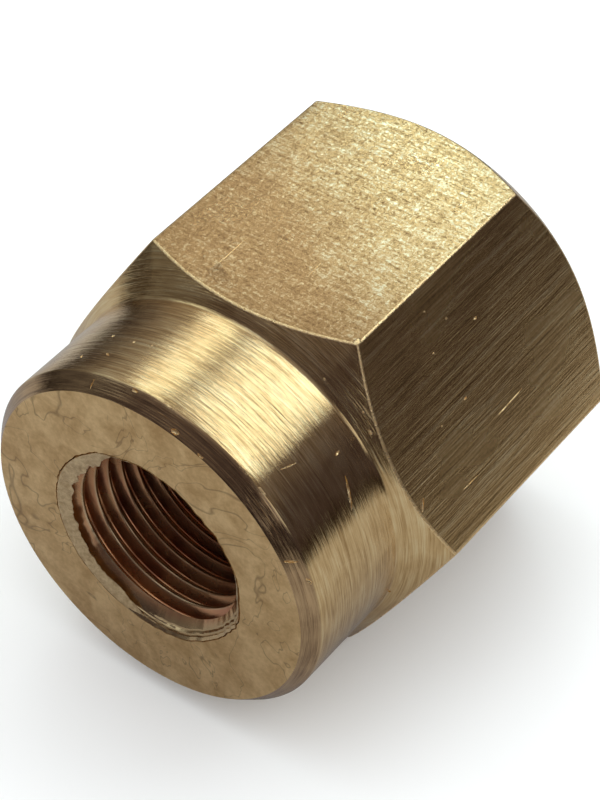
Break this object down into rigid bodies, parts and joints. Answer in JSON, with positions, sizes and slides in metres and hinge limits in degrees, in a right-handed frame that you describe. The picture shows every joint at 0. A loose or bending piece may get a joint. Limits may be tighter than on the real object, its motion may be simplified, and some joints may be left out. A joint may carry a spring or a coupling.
{
  "type": "pipe cap",
  "caption": "Machined brass pipe cap: a chamfered hexagon for the spanner, a round skirt, and a blind internal pipe thread that closes the end of a pipe.",
  "frame": {"origin": "on the bore's axis, in the plane of the mouth's end face", "axes": "+Y along the bore's axis into the cap, towards its closed end; +Z is the outward normal of the top flat, so the cap lies on the flat below"},
  "size_m": [0.0218, 0.0213, 0.019],
  "materials": {
    "brass": "machined and slightly tarnished"
  },
  "bodies": {
    "root": {"cap_body": "brass"}
  },
  "joints": []
}
